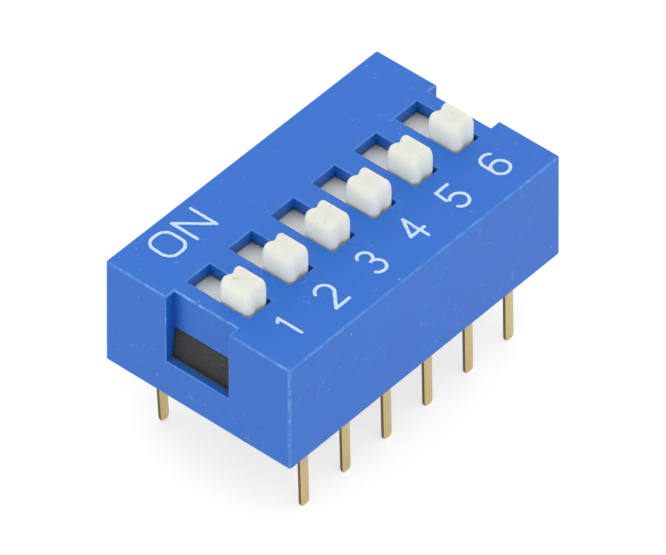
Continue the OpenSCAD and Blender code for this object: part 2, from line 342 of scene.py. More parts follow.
# %% Grain: the fine matt skin that a sparked mould leaves, and a slow cloudiness
grain, grain_in, grain_out = new_group(
    "moulded_grain", [("Place", None), ("Grains", 30.0), ("Clouds", 0.6)], ["Height", "Cloud"])
wire(grain, noise(grain, grain_in["Place"], grain_in["Grains"], 3.0), grain_out["Height"])
wire(grain, noise(grain, grain_in["Place"], grain_in["Clouds"], 4.0), grain_out["Cloud"])

# %% Chips: where a marked edge has lost its skin
chips, chips_in, chips_out = new_group(
    "edge_chips", [("Place", None), ("Edge", 0.0), ("Chips", 5.0), ("Amount", 0.5)], ["Mask"])
chip_field = noise(chips, chips_in["Place"], chips_in["Chips"], 5.0)
chip_limit = between(chips, times(chips, chips_in["Amount"], chips_in["Edge"]), 0.75, 0.25)
chip_mask = ease(chips, chip_field, chip_limit, maths(chips, "ADD", chip_limit, 0.2))
chip_on_edge = maths(chips, "MINIMUM", times(chips, chips_in["Edge"], 4.0), 1.0)
wire(chips, times(chips, chip_mask, chip_on_edge), chips_out["Mask"])

# %% Streaks: fine lines along the way that something was drawn or has rubbed
streaks, streaks_in, streaks_out = new_group(
    "streaks", [("Place", None), ("Lines", 12.0)], ["Line"])
wire(streaks, noise(streaks, streaks_in["Place"], streaks_in["Lines"], 3.0), streaks_out["Line"])

# %% Scuffs: short fine marks that lie in a few patches
scuffs, scuffs_in, scuffs_out = new_group(
    "scuffs", [("Place", None), ("Marks", 7.0), ("Patches", 0.5), ("Amount", 0.5)], ["Mask"])
scuff_field = noise(scuffs, scuffs_in["Place"], scuffs_in["Marks"], 4.0)
scuff_limit = between(scuffs, scuffs_in["Amount"], 0.72, 0.52)
scuff_mark = ease(scuffs, scuff_field, scuff_limit, maths(scuffs, "ADD", scuff_limit, 0.08))
scuff_patch = ease(scuffs, noise(scuffs, scuffs_in["Place"], scuffs_in["Patches"], 2.0), 0.45, 0.62)
wire(scuffs, times(scuffs, scuff_mark, scuff_patch), scuffs_out["Mask"])
print("groups:", [group.name for group in bpy.data.node_groups])

# %% [markdown]
# ## Materials
#
# Six finishes cover the whole switch. Each sets its steady numbers on the Principled shader
# itself, and lets only what changes over the surface come through nodes.

# %% Material helpers
def new_material(name):
    """A new material, its node tree, its Principled shader, and the place in millimetres."""
    made = bpy.data.materials.new(name)
    made.use_nodes = True
    tree = made.node_tree
    return made, tree, tree.nodes["Principled BSDF"], place_in_mm(tree)


def relief(tree, height, depth):
    """A height pattern as a bump that is depth millimetres deep."""
    return node(tree, "ShaderNodeBump", {"Strength": 1.0, "Distance": depth * MM, "Height": height})[0]


# %% [markdown]
# ### Blue moulding
#
# The cover is a saturated blue thermoplastic with a satin skin. Handling has left dust and a few
# rubs, and its sharpest edges are chipped to a lighter blue. A lighter band along the roundings is
# partly wear and partly painted highlight. Shade is painted where it falls: the walls of the slots
# darken towards the bottom, one wall of each recess darkens inwards, and the ledge at its foot is
# painted a darker grey, a painted shade at the foot of the latch. The mesh carries marks that say
# which faces these are, "slot" and "recess", and how worn and how lit each rounded edge is, "edge".

# %% Painted shade in the slots and recesses of the cover
def painted_shade_on_cover(tree, place, colour):
    x, y, z = apart(tree, place)
    # Painted shade: the walls of the slots darken towards the bottom.
    sunk = ease(tree, minus(tree, cover_top / MM, z), 0.0, 1.1)
    colour = blend(tree, times(tree, sunk, mark(tree, "slot")), colour, (0.001, 0.02, 0.09, 1))
    in_recess = mark(tree, "recess")
    inwards = minus(tree, cover_high.x / MM, maths(tree, "ABSOLUTE", x))
    # Painted shade: one wall of each recess darkens inwards, towards the web.
    recess_wall_shade = times(tree, ease(tree, inwards, -0.1, 0.7), ease(tree, y, 1.1, 1.7), in_recess, 0.5)
    colour = blend(tree, recess_wall_shade, colour, (0.004, 0.04, 0.22, 1))
    # Painted shade: the ledge turns a darker grey towards the foot of the latch.
    low_down = one_minus(tree, ease(tree, z, ledge_z / MM, ledge_z / MM + 0.2))
    ledge_shade = times(tree, ease(tree, inwards, 0.1, 0.42), low_down, in_recess, 0.9)
    return blend(tree, ledge_shade, colour, (0.07, 0.09, 0.13, 1))


# %% Blue plastic
def blue_plastic():
    made, tree, shader, place = new_material("blue_plastic")
    skin = use(tree, grain, Place=place, Grains=22.0, Clouds=0.7)
    colour = blend(tree, skin["Cloud"], (0.001, 0.127, 0.575, 1), (0.003, 0.143, 0.628, 1))
    colour = painted_shade_on_cover(tree, place, colour)
    edge = mark(tree, "edge")
    uneven = ease(tree, noise(tree, place, 1.5, 5.0), 0.36, 0.6)
    # The lighter band along the roundings is partly wear and partly painted highlight.
    rubbed = times(tree, edge, between(tree, uneven, 0.5, 1.0))
    colour = blend(tree, rubbed, colour, (0.14, 0.38, 0.82, 1))
    worn = use(tree, chips, Place=place, Edge=edge, Chips=5.0, Amount=0.8)["Mask"]
    colour = blend(tree, worn, colour, (0.18, 0.45, 0.86, 1))
    marks = use(tree, scuffs, Place=place, Marks=4.0, Patches=0.45, Amount=0.5)["Mask"]
    specks = use(tree, dust, Place=place, Cells=1.3, Size=0.09, Amount=0.16)["Mask"]
    pale = maths(tree, "MAXIMUM", times(tree, marks, 0.17), times(tree, specks, 0.7))
    colour = blend(tree, pale, colour, (0.28, 0.60, 0.92, 1))
    filled(tree, shader, {
        "IOR": 1.56, "Base Color": colour, "Roughness": between(tree, skin["Height"], 0.38, 0.54),
        "Normal": relief(tree, skin["Height"], 0.004)})
    return made


# %% [markdown]
# ### Black moulding
#
# The base is a glass-filled black, duller than the cover. Dust shows on it as grey points.

# %% Black plastic
def black_plastic():
    made, tree, shader, place = new_material("black_plastic")
    skin = use(tree, grain, Place=place, Grains=16.0)
    mottle = ease(tree, noise(tree, place, 7.0, 4.0), 0.35, 0.7)
    colour = blend(tree, mottle, (0.008, 0.008, 0.009, 1), (0.022, 0.019, 0.017, 1))
    worn = use(tree, chips, Place=place, Edge=mark(tree, "edge"), Chips=6.0, Amount=0.5)["Mask"]
    colour = blend(tree, worn, colour, (0.07, 0.07, 0.075, 1))
    specks = use(tree, dust, Place=place, Cells=5.0, Size=0.30, Amount=0.10)["Mask"]
    marks = use(tree, scuffs, Place=place, Marks=9.0, Patches=1.1, Amount=0.5)["Mask"]
    pale = maths(tree, "MAXIMUM", times(tree, specks, 0.6), times(tree, marks, 0.12))
    colour = blend(tree, pale, colour, (0.40, 0.44, 0.42, 1))
    filled(tree, shader, {
        "Base Color": colour, "Roughness": between(tree, skin["Height"], 0.48, 0.68),
        "Normal": relief(tree, skin["Height"], 0.008)})
    return made


# %% [markdown]
# ### White sliders
#
# The sliders are an off-white, slightly waxy plastic that light enters a little way. The top of the
# knob, and less its two ends, is painted darker, a painted shade that keeps the top from shining
# brighter than the sides, and fingers have left small scratches there: the mesh carries both as the
# mark "handled". Low on the knob, where it leaves the slot, it is darker in noisy patches. The
# floor of the slot is the slider's own plate. It is rubbed along the slide, and painted darker at
# the far end, most of all in the corners, as painted shade under the walls of the slot. All six
# slots share one pattern of this painted shade, because the Wrap operation brings every x back
# to the stretch round the first slot.

# %% Darker patches, wear and painted shade on the sliders
def darker_round_knob_foot(tree, place, above, colour):
    """Darker grey patches round the knob, just above and below the top of the cover."""
    near_slot = times(tree, ease(tree, above, -0.4, -0.1), one_minus(tree, ease(tree, above, -0.1, 0.4)))
    foot_darkening = times(tree, near_slot, noise(tree, place, 2.5, 4.0), 0.35)
    return blend(tree, foot_darkening, colour, (0.45, 0.45, 0.44, 1))


def wear_and_shade_on_plate(tree, place, above, colour):
    """A pale trace worn along the slide, and painted shade at the far end of the slot."""
    x, y, _ = apart(tree, place)
    low_down = one_minus(tree, ease(tree, above, -0.3, -0.1))
    rubbed = use(tree, streaks, Place=stretched(tree, place, (1.0, 0.25, 1.0)), Lines=5.0)["Line"]
    trace = times(tree, ease(tree, rubbed, 0.40, 0.62), low_down)
    colour = blend(tree, trace, colour, (0.97, 0.99, 0.92, 1))
    # Painted shade: darker at the far end of the slot, most of all in its corners, under the walls.
    first, half_pitch = switch_x[1] / MM, pitch / 2 / MM
    across = maths(tree, "WRAP", x, first + half_pitch, first - half_pitch)
    to_side = ease(tree, maths(tree, "ABSOLUTE", minus(tree, across, first)), 0.0, 0.8)
    to_end = ease(tree, minus(tree, y, slot_end / MM), -0.9, 0.1)
    far_end_shade = times(tree, to_end, between(tree, to_side, 0.35, 1.0), low_down, 0.75)
    return blend(tree, far_end_shade, colour, (0.08, 0.11, 0.18, 1))


# %% White plastic
def white_plastic():
    made, tree, shader, place = new_material("white_plastic")
    above = minus(tree, apart(tree, place)[2], cover_top / MM)
    shade_and_handling = mark(tree, "knob_top_shade_and_handling")
    skin = use(tree, grain, Place=place, Grains=18.0, Clouds=1.4)
    colour = blend(tree, skin["Cloud"], (0.95, 0.935, 0.76, 1), (0.97, 0.96, 0.81, 1))
    # Painted shade: the top of the knob, and less its two ends, darker and a little yellower than the
    # sides.
    colour = blend(tree, shade_and_handling, colour, (0.75, 0.755, 0.68, 1))
    colour = darker_round_knob_foot(tree, place, above, colour)
    colour = wear_and_shade_on_plate(tree, place, above, colour)
    scratched = use(tree, scuffs, Place=place, Marks=3.0, Patches=0.9, Amount=0.6)["Mask"]
    colour = blend(tree, times(tree, scratched, shade_and_handling, 0.45), colour, (0.46, 0.45, 0.36, 1))
    filled(tree, shader, {
        "Subsurface Weight": 0.6, "Subsurface Radius": (1.0, 0.95, 0.9),
        "Subsurface Scale": 0.8 * MM, "Specular IOR Level": 0.3, "Base Color": colour,
        "Roughness": between(tree, skin["Cloud"], 0.34, 0.50),
        "Normal": relief(tree, skin["Height"], 0.003)})
    return made


# %% [markdown]
# ### Printed ink
#
# The legend is pad printed. The ink is thick in the middle of a line and thins to its rim, where
# the blue shows through.

# %% White ink
def white_ink():
    made, tree, shader, place = new_material("white_ink")
    patches = noise(tree, place, 5.0, 4.0)
    colour = blend(tree, patches, (0.46, 0.65, 0.92, 1), (0.70, 0.84, 0.98, 1))
    uneven = maths(tree, "ADD", 0.25, noise(tree, place, 9.0, 3.0))
    thin = maths(tree, "MULTIPLY", mark(tree, "rim"), uneven, clamp=True)
    filled(tree, shader, {
        "Base Color": blend(tree, thin, colour, (0.10, 0.30, 0.80, 1)), "Roughness": 0.5,
        "Normal": relief(tree, patches, 0.01)})
    return made


# %% [markdown]
# ### Plated strip
#
# Terminals and springs are stamped from brass strip. Their faces keep fine drawing lines, and
# their sheared sides are rough and dark.

# %% Plated brass
def plated_brass(name, faces, tarnish, sheared, along):
    """faces, tarnish and sheared are colours. along stretches the drawing lines down the strip."""
    made, tree, shader, place = new_material(name)
    drawn = use(tree, streaks, Place=stretched(tree, place, along), Lines=10.0)["Line"]
    clouds = noise(tree, place, 1.6, 3.0)
    colour = blend(tree, times(tree, drawn, clouds), faces, tarnish)
    side = mark(tree, "sheared")
    colour = blend(tree, side, colour, sheared)
    filled(tree, shader, {
        "Metallic": 1.0, "Base Color": colour, "Roughness": between(tree, side, 0.28, 0.48),
        "Normal": relief(tree, drawn, 0.004)})
    return made


finishes = {
    "blue_plastic": blue_plastic(),
    "black_plastic": black_plastic(),
    "white_plastic": white_plastic(),
    "white_ink": white_ink(),
    "plated_pin": plated_brass("plated_pin", (0.63, 0.50, 0.25, 1), (0.43, 0.32, 0.14, 1),
                               (0.16, 0.122, 0.057, 1), (1.0, 1.0, 0.06)),
    "plated_spring": plated_brass("plated_spring", (0.75, 0.58, 0.24, 1), (0.55, 0.40, 0.15, 1),
                                  (0.30, 0.22, 0.09, 1), (1.0, 0.06, 1.0)),
}
print("finishes:", sorted(finishes))

# %% [markdown]
# ## Turning a CAD part into a mesh that can be finished
#
# The CAD parts come as loose triangles, which can't be bevelled. A copy has its corners merged
# and its flat triangles joined, and then an edge of the copy is an edge of the part. The
# alternative, modelling each part again, would risk a wall that is no longer where the CAD has it.

# %% What counts as one point, one flat face, a narrow strip and a sharp edge
merge_gap, flat_within = 0.0001 * MM, radians(0.5)
widest_strip, sharp_from = 0.06 * MM, radians(50)


# %% Editing a mesh and adding a modifier
@contextmanager
def editing(mesh):
    """Opens a mesh for editing, and writes the changed shape back at the end of the block."""
    shape = bmesh.new()
    shape.from_mesh(mesh)
    yield shape
    shape.to_mesh(mesh)
    shape.free()


def modify(piece, name, kind, **settings):
    """Adds a modifier with these settings."""
    made = piece.modifiers.new(name, kind)
    for setting, value in settings.items():
        setattr(made, setting, value)


# %% Copies of the CAD parts
def new_piece(name, mesh):
    piece = bpy.data.objects.new(name, mesh)
    scene.collection.objects.link(piece)
    return piece


def flat_faces_joined(shape):
    bmesh.ops.dissolve_limit(shape, angle_limit=flat_within, verts=shape.verts, edges=shape.edges)


def solid_copy(part, name):
    """A CAD part's shape as a mesh of its own, with whole flat faces."""
    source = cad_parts[part].data
    mesh = bpy.data.meshes.new(name)
    mesh.from_pydata([v.co[:] for v in source.vertices], [], [tuple(f.vertices) for f in source.polygons])
    with editing(mesh) as shape:
        bmesh.ops.remove_doubles(shape, verts=shape.verts, dist=merge_gap)
        flat_faces_joined(shape)
    return new_piece(name, mesh)


# %% [markdown]
# Edges aren't all rounded alike: the outer ones of a moulding are soft, the rim of a slot is
# nearly sharp. So each edge gets a share of one radius as its bevel weight, from a rule that
# looks at where the edge lies. The Bevel modifier then rounds them all at once, which keeps the
# corners clean where edges with different shares meet.

# %% Rounding by rule
def rounded(piece, radius, share_of, segments=3):
    """Rounds the convex edges of a piece by share_of(edge) times the radius, and makes it a plain mesh."""
    with editing(piece.data) as shape:
        weight = shape.edges.layers.float.new("bevel_weight_edge")
        for edge in shape.edges:
            if edge.is_manifold and edge.calc_face_angle_signed(0) > radians(25):
                edge[weight] = share_of(edge)
    piece.data.shade_smooth()
    modify(piece, "rounding", "BEVEL", width=radius, segments=segments,
           limit_method="WEIGHT", use_clamp_overlap=False)
    return evenly_shaded(made_plain(piece))


def made_plain(piece):
    """Puts what the modifiers make into the piece's own mesh, and takes the modifiers off."""
    bpy.context.view_layer.update()
    ready = piece.evaluated_get(bpy.context.evaluated_depsgraph_get())
    mesh = bpy.data.meshes.new_from_object(ready)
    piece.modifiers.clear()
    piece.data = mesh
    mesh.name = piece.name
    return piece


def narrowness(mesh, face):
    """How wide a face is across its longest edge. The strips that a rounding is made of are narrow."""
    corners = [mesh.vertices[index].co for index in face.vertices]
    longest = max((first - second).length for first, second in zip(corners, corners[1:] + corners[:1]))
    return face.area / longest


def evenly_shaded(piece):
    """Keeps sharp edges sharp, and lets wide faces shade flat right up to a rounding."""
    piece.data.set_sharp_from_angle(angle=sharp_from)
    modify(piece, "flat_faces_first", "WEIGHTED_NORMAL", keep_sharp=True)
    mesh = made_plain(piece).data
    leanings = [corner.vector.copy() for corner in mesh.corner_normals]
    for face in mesh.polygons:
        if narrowness(mesh, face) > widest_strip:
            for corner in face.loop_indices:
                leanings[corner] = face.normal
    mesh.normals_split_custom_set(leanings)
    return piece


def paint(piece, name, amount_of):
    """Marks every face with amount_of(face), for a material to read under that name."""
    layer = piece.data.attributes.new(name, "FLOAT", "CORNER")
    for face in piece.data.polygons:
        amount = amount_of(face)
        for corner in face.loop_indices:
            layer.data[corner].value = amount


def finish(piece, material, body, *parts):
    """Gives a piece its material, lets it ride on its body and stand for its CAD parts."""
    piece.data.materials.clear()
    piece.data.materials.append(finishes[material])
    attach(piece, body)
    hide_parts(*parts)
    print(piece.name, len(piece.data.polygons), "faces, for", ", ".join(parts))


# %% [markdown]
# ## The cover
#
# On the real cover the four upright edges are the softest, then the other outer ones, and the
# rims of slots and recesses are almost sharp. The rules tell the edges apart by where they lie.

# %% Which edge is which
skin_t = 0.06 * MM
cover_half = (cover_high - cover_low) / 2
softest = 0.13 * MM
upright_from = 3 * MM
outer_share, slot_share, recess_share = 0.62, 0.37, 0.31


def outer_sides(point):
    """On how many of the cover's outer faces a point lies: the ends, the long sides and the top."""
    return [abs(point.x) > cover_half.x - skin_t, abs(point.y) > cover_half.y - skin_t,
            point.z > cover_top - skin_t].count(True)


def cover_share(edge):
    ends = [vertex.co for vertex in edge.verts]
    middle = (ends[0] + ends[1]) / 2
    if outer_sides(middle) >= 2:
        return 1.0 if abs(ends[0].z - ends[1].z) > upright_from else outer_share
    if middle.z > cover_top - skin_t:
        return outer_share if abs(middle.x) > web_x - 0.1 * MM else slot_share
    if outer_sides(middle) == 1:
        return outer_share if middle.z < skin_t else recess_share
    return 0.0


cover = rounded(solid_copy("cover", "blue_cover"), softest, cover_share, segments=4)
print("cover", len(cover.data.polygons), "faces, softest edge", round(softest / MM, 2), "mm")

# %% [markdown]
# The web over each latch is so thin that its rim has crumbled. Its long strips are cut into short
# ones, and the points inside them are pushed in by uneven amounts.

# %% Crumbled rims
rim_step, rim_depth, rim_grain = 0.06 * MM, 0.12 * MM, 0.11 * MM
web_end = reach("cover", lambda p: abs(p.x - web_x) < hair and p.z > cover_top - hair)[1].y


def on_web_rim(face):
    """Whether a face is part of the rounded rim of a web, away from the corners of its recess."""
    x, y, z = face.calc_center_median()
    along = abs(y) < web_end - 0.15 * MM
    across = web_x - 0.08 * MM < abs(x) < web_x + 0.03 * MM and z > cover_top - 0.1 * MM
    return along and across and abs(face.normal.z) < 0.999


with editing(cover.data) as shape:
    rim = {edge for face in shape.faces if on_web_rim(face) for edge in face.edges}
    strips = [edge for edge in shape.edges if edge in rim and edge.calc_length() > 10 * rim_step]
    cuts = int(max(edge.calc_length() for edge in strips) / rim_step)
    bmesh.ops.subdivide_edges(shape, edges=strips, cuts=cuts, use_grid_fill=True)
    for v in shape.verts:
        if all(on_web_rim(face) for face in v.link_faces):
            v.co -= v.normal * rim_depth * max(0.0, noise_vector(v.co / rim_grain).x)
evenly_shaded(cover)
print("cut", len(strips), "strips into", cuts + 1, "each")

# %% [markdown]
# Three marks tell the material where it is worn and lit, and where to paint shade. Wear and a
# painted highlight lie on the roundings alone: little on the long edges, more on the ends and round
# the slots, and most on the webs. An upright edge gets its painted highlight where its rounding
# looks out between both walls.

# %% Marks on the cover
# How much wear and painted highlight each kind of rounding gets; on the upright edges it is mostly painted
# highlight.
upright_highlight_and_wear, long_edge_wear, slot_wear, web_wear, end_wear = 1.2, 0.1, 0.4, 0.75, 0.52


def cover_edge_wear_and_highlight(face):
    if narrowness(cover.data, face) > widest_strip:
        return 0.0
    x, y, z = face.center
    by_the_corner = abs(x) > cover_half.x - 3 * skin_t and abs(y) > cover_half.y - 3 * skin_t
    # Painted highlight on an upright edge, strongest in the middle of its rounding.
    if by_the_corner and z < cover_top - 2 * skin_t:
        return upright_highlight_and_wear * abs(face.normal.x * face.normal.y)
    if abs(x) < web_x - 0.1 * MM:
        return long_edge_wear if outer_sides(face.center) >= 2 else slot_wear
    if abs(x) < web_x + 0.1 * MM and z > cover_top - skin_t:
        return web_wear
    return end_wear


def slot_wall(face):
    """1 on the walls of the six slots, and 0 elsewhere."""
    inside = outer_sides(face.center) == 0 and abs(face.center.x) < web_x - 0.3 * MM
    return float(inside and face.center.z > cover_top - 1.0 * MM)


def recess_side(face):
    """1 on the walls, the ledge and the web of the two recesses, and 0 elsewhere."""
    x, _, z = face.center
    inside = web_x - 0.02 * MM < abs(x) < cover_half.x - skin_t
    return float(inside and ledge_z - 0.01 * MM < z < cover_top - skin_t)


paint(cover, "edge", cover_edge_wear_and_highlight)
# The marks "slot" and "recess" tell the blue material where to paint shade.
paint(cover, "slot", slot_wall)
paint(cover, "recess", recess_side)
finish(cover, "blue_plastic", "housing", "cover")

# %% [markdown]
# ## The base
#
# Of the base one sees the latch in each end, and the underside between the pins. Only the edges
# there are rounded.

# %% Base
base_wall_x = flats("cover", 0, -1)[-1]
base_softest, base_strip, long_edge = 0.05 * MM, 0.04 * MM, 3 * MM


def base_share(edge):
    middle = (edge.verts[0].co + edge.verts[1].co) / 2
    if abs(middle.x) > base_wall_x + 0.03 * MM:
        return 1.0
    return 0.8 if middle.z < 0.01 * MM and edge.calc_length() > long_edge else 0.0


base = rounded(solid_copy("base", "black_base"), base_softest, base_share)
paint(base, "edge", lambda face: 0.5 if narrowness(base.data, face) < base_strip else 0.0)
finish(base, "black_plastic", "housing", "base")
print("base wall ends at", round(base_wall_x / MM, 3), "mm")

# %% [markdown]
# ## The sliders
#
# A slider is one moulding: a knob, a flat plate that closes the slot from below, and a box under
# it that carries the spring. Fingers meet the knob, so it gets the care. Seen from above it is a
# block with round corners and a soft dip in each end. That outline is carried up the knob as a
# stack of rings, and near the top each ring is a smaller outline of the same form, drawn in along
# a quarter of a tall ellipse. That keeps the dip alive in the rounding, which a bevel of the sharp
# block would not do as softly. On the end that a finger pushes, the dip is worn away upwards.

# %% Outline of a knob
def knob_end(width, length, corner, dip, steps=6):
    """Points along the far half of a knob seen from above: a round corner, a dip and a round corner."""
    flat, shoulder = width / 2 - corner, length / 2 - corner
    angles = [pi / 2 * k / steps for k in range(steps + 1)]
    points = [Vector((flat + corner * cos(a), shoulder + corner * sin(a))) for a in angles]
    for k in range(1, 4 * steps):
        x = flat * (1 - k / (2 * steps))
        points.append(Vector((x, length / 2 - dip * (1 + cos(pi * x / flat)) / 2)))
    return points + [Vector((-flat - corner * sin(a), shoulder + corner * cos(a))) for a in angles]


# %% A closed mesh through a stack of rings
def loft(name, rings):
    """Joins rings of points, each in the same order, and closes the first and the last."""
    mesh = bpy.data.meshes.new(name)
    with editing(mesh) as shape:
        loops = [[shape.verts.new(point) for point in ring] for ring in rings]
        for lower, upper in zip(loops, loops[1:]):
            for k in range(len(lower)):
                shape.faces.new((lower[k - 1], lower[k], upper[k], upper[k - 1]))
        shape.faces.new(loops[0])
        shape.faces.new(loops[-1])
        bmesh.ops.recalc_face_normals(shape, faces=shape.faces)
    mesh.shade_smooth()
    return new_piece(name, mesh)


# %% Knob
knob_low, knob_high = reach("actuator_1", lambda point: point.z > cover_top)
knob_size = knob_high - knob_low
knob_middle = (knob_low + knob_high) / 2
plate_top = flats("actuator_1", 2, 1)[-2]
knob_corner, knob_top_corner, knob_dip = 0.27 * MM, 0.14 * MM, 0.13 * MM
knob_rounding, knob_crown = 0.24 * MM, 0.55 * MM
foot_flare, knob_sunk = 0.02 * MM, 0.1 * MM
knob_fade, crown_steps = 0.9, 8


def knob_ring(inset, z, shrink=1.0):
    """The outline drawn in by inset, at height z. The dip in the near end fades towards the top."""
    width, length = knob_size.x - 2 * inset, knob_size.y - 2 * inset
    corner = max(knob_corner - inset, knob_top_corner)
    faded = knob_fade * (z - plate_top) / (knob_high.z - plate_top)
    far = knob_end(width, length, corner, knob_dip)
    near = knob_end(width, length, corner, knob_dip * (1 - faded))
    ring = far + [-point for point in near]
    return [(knob_middle.x + p.x * shrink, knob_middle.y + p.y * shrink, z) for p in ring]


knob_rings = [
    knob_ring(-foot_flare, plate_top - knob_sunk),
    knob_ring(-foot_flare, plate_top),
    knob_ring(-foot_flare / 4, plate_top + foot_flare),
    knob_ring(0, plate_top + 3 * foot_flare),
]
for k in range(crown_steps + 1):
    angle = pi / 2 * k / crown_steps
    knob_rings.append(knob_ring(knob_rounding * (1 - cos(angle)),
                                knob_high.z - knob_crown * (1 - sin(angle))))
knob_rings.append(knob_ring(knob_rounding, knob_high.z, shrink=0.9))
knob = loft("knob", knob_rings)
print("knob", [round(value / MM, 3) for value in knob_size.xy], "mm,", len(knob_rings), "rings")

# %% [markdown]
# The plate and the spring box come from the CAD slider, cut off level with the top of its plate.
# Their edges are rounded a little, and then the knob and the plate are joined into one skin with
# a Boolean, so that the slider is a single closed moulding, as it is in plastic.

# %% Slider
slider_rounding, box_depth = 0.03 * MM, 1.5 * MM


def slider_share(edge):
    return 1.0 if min(v.co.z for v in edge.verts) > plate_top - box_depth else 0.0


def cut_off_above(piece, level):
    """Takes away what a piece has above a level and closes the cut."""
    with editing(piece.data) as shape:
        everything = shape.verts[:] + shape.edges[:] + shape.faces[:]
        bmesh.ops.bisect_plane(shape, geom=everything, dist=merge_gap, plane_co=(0, 0, level),
                               plane_no=(0, 0, 1), clear_outer=True)
        bmesh.ops.holes_fill(shape, edges=[edge for edge in shape.edges if edge.is_boundary], sides=0)
        flat_faces_joined(shape)
    return piece


slider = cut_off_above(solid_copy("actuator_1", "slider"), plate_top)
rounded(slider, slider_rounding, slider_share, segments=2)
modify(slider, "knob", "BOOLEAN", operation="UNION", solver="EXACT", object=knob)
evenly_shaded(made_plain(slider))
bpy.data.objects.remove(knob)


def knob_top_shade_and_handling(face):
    """How much a face of the slider is painted darker and scratched: the top of the knob fully, its two
    ends less. The darkening is painted shade.
    """
    if face.center.z < plate_top + 2 * foot_flare:
        return 0.0
    return min(1.0, 1.4 * max(0.0, face.normal.z) + 0.4 * abs(face.normal.y))


paint(slider, "knob_top_shade_and_handling", knob_top_shade_and_handling)
print("slider", len(slider.data.polygons), "faces")

# %% [markdown]
# ## Repeating a part
#
# The switch repeats its parts at one pitch. A Geometry Nodes tree does that job with its sizes in
# view: it makes a line of points, puts the part on each, turns the copies into real mesh and gives
# them their finish. A row of terminals is a line of six points. A slider moves on its own body, so
# each of the six is a line of one point.

# %% A row of parts
def new_tree(name, inputs):
    """A Geometry Nodes tree. inputs is (label, kind) pairs."""
    tree = bpy.data.node_groups.new(name, "GeometryNodeTree")
    tree.is_modifier = True
    for label, kind in inputs:
        tree.interface.new_socket(label, in_out="INPUT", socket_type="NodeSocket" + kind)
    tree.interface.new_socket("Result", in_out="OUTPUT", socket_type="NodeSocketGeometry")
    return tree, tree.nodes.new("NodeGroupInput").outputs, tree.nodes.new("NodeGroupOutput").inputs


def along_x(tree, distance):
    return node(tree, "ShaderNodeCombineXYZ", {"X": distance})[0]


def end_tree(tree, shape, finish_in, result):
    """The last steps of a tree: the shape is made real mesh and gets its finish."""
    real = node(tree, "GeometryNodeRealizeInstances", {"Geometry": shape})[0]
    wire(tree, node(tree, "GeometryNodeSetMaterial", {"Geometry": real, "Material": finish_in})[0], result)


row, row_in, row_out = new_tree("row_of_parts", [
    ("Part", "Geometry"), ("Count", "Int"), ("First", "Float"), ("Step", "Float"), ("Finish", "Material")])
row_points = node(row, "GeometryNodeMeshLine", {
    "Count": row_in["Count"], "Start Location": along_x(row, row_in["First"]),
    "Offset": along_x(row, row_in["Step"])}, mode="OFFSET")["Mesh"]
row_copies = node(row, "GeometryNodeInstanceOnPoints", {
    "Points": row_points, "Instance": row_in["Part"]})["Instances"]
end_tree(row, row_copies, row_in["Finish"], row_out["Result"])


def run(piece, tree, **values):
    """Runs a Geometry Nodes tree on a piece with these inputs, and makes it a plain mesh."""
    modifier = piece.modifiers.new(tree.name, "NODES")
    modifier.node_group = tree
    for item in tree.interface.items_tree:
        if item.in_out == "INPUT" and item.name in values:
            modifier[item.identifier] = values[item.name]
    return made_plain(piece)


print("inputs of a row:", [item.name for item in row.interface.items_tree if item.in_out == "INPUT"])

# %% Six sliders, each on its own body
for i in switches:
    one = new_piece(f"white_slider_{i}", slider.data.copy())
    run(one, row, Count=1, First=switch_x[i] - switch_x[1], Step=pitch, Finish=finishes["white_plastic"])
    finish(one, "white_plastic", f"slider_{i}", f"actuator_{i}")
bpy.data.objects.remove(slider)

# %% [markdown]
# ## The spring contacts
#
# Under each slider a strip of spring brass is bent into a low arch with turned-up toes. Its
# shape follows a path, so the tree takes the path as a row of edges, rounds its corners as a
# bending tool does, and draws a flat section along it.

# %% A strip bent along a path
strip, strip_in, strip_out = new_tree("bent_strip", [
    ("Path", "Geometry"), ("Width", "Float"), ("Thickness", "Float"), ("Bend", "Float"),
    ("Sheared Edge", "Float"), ("Finish", "Material")])


def with_round_corners(tree, curve, radius, count, limited=False):
    values = {"Curve": curve, "Radius": radius, "Count": count, "Limit Radius": limited}
    return node(tree, "GeometryNodeFilletCurve", values, mode="POLY")["Curve"]


strip_path = node(strip, "GeometryNodeMeshToCurve", {"Mesh": strip_in["Path"]})["Curve"]
strip_bent = with_round_corners(strip, strip_path, strip_in["Bend"], 4, limited=True)
strip_line = node(strip, "GeometryNodeSetCurveNormal", {"Curve": strip_bent}, mode="Z_UP")["Curve"]
strip_blank = node(strip, "GeometryNodeCurvePrimitiveQuadrilateral", {
    "Width": strip_in["Width"], "Height": strip_in["Thickness"]})["Curve"]
strip_section = with_round_corners(strip, strip_blank, strip_in["Sheared Edge"], 2)
strip_skin = node(strip, "GeometryNodeCurveToMesh", {
    "Curve": strip_line, "Profile Curve": strip_section, "Fill Caps": True})["Mesh"]
end_tree(strip, strip_skin, strip_in["Finish"], strip_out["Result"])

# %% Path of a spring, measured on the CAD strip
spring_low, spring_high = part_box("contact_spring_1")
spring_middle = (spring_low + spring_high) / 2
crest_low, crest_high = reach("contact_spring_1", lambda point: point.z > spring_high.z - hair)
sole_low, sole_high = reach("contact_spring_1", lambda point: point.z < spring_low.z + hair)
instep = min(abs(v.co.y - spring_middle.y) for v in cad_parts["contact_spring_1"].data.vertices
             if v.co.z < spring_low.z + hair)
crest_half = (crest_high.y - crest_low.y) / 2
sole_half = (sole_high.y - sole_low.y) / 2
